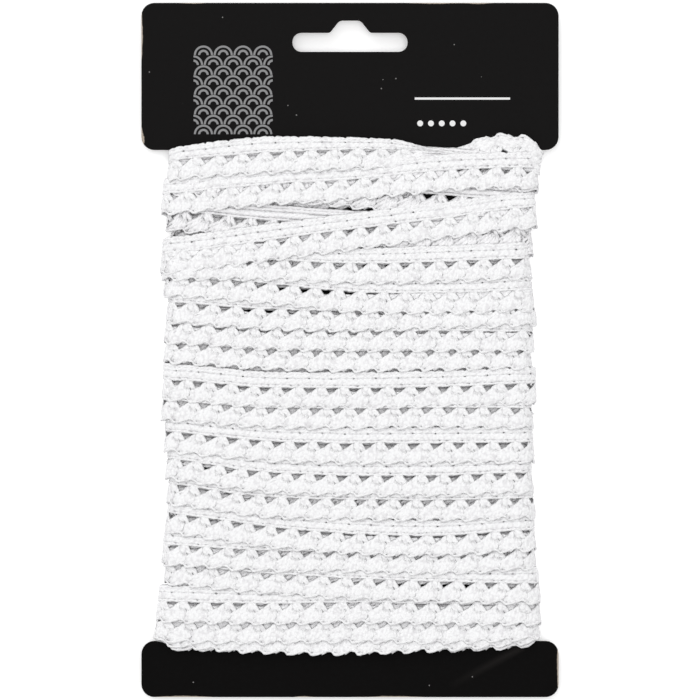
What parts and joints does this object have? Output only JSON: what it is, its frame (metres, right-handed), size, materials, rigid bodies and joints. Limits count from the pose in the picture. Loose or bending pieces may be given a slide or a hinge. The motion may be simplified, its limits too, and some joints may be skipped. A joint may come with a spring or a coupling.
{
  "type": "lace trim wound on a hang card",
  "caption": "White scalloped lace trim wound flat round the waist of a stiff black I-shaped card that has a hang slot through its head.",
  "frame": {"origin": "under the middle of the card's outline, on the surface that the back of the winding rests on", "axes": "+Y along the card towards its hang slot, +Z out of the front face, +X to the right seen from the front"},
  "size_m": [0.116, 0.193, 0.0088],
  "materials": {
    "card_board": "matte black print on stiff grey board",
    "lace_cotton": "matte white cotton"
  },
  "bodies": {
    "root": {"card": "card_board", "lace_winding": "lace_cotton"}
  },
  "joints": []
}
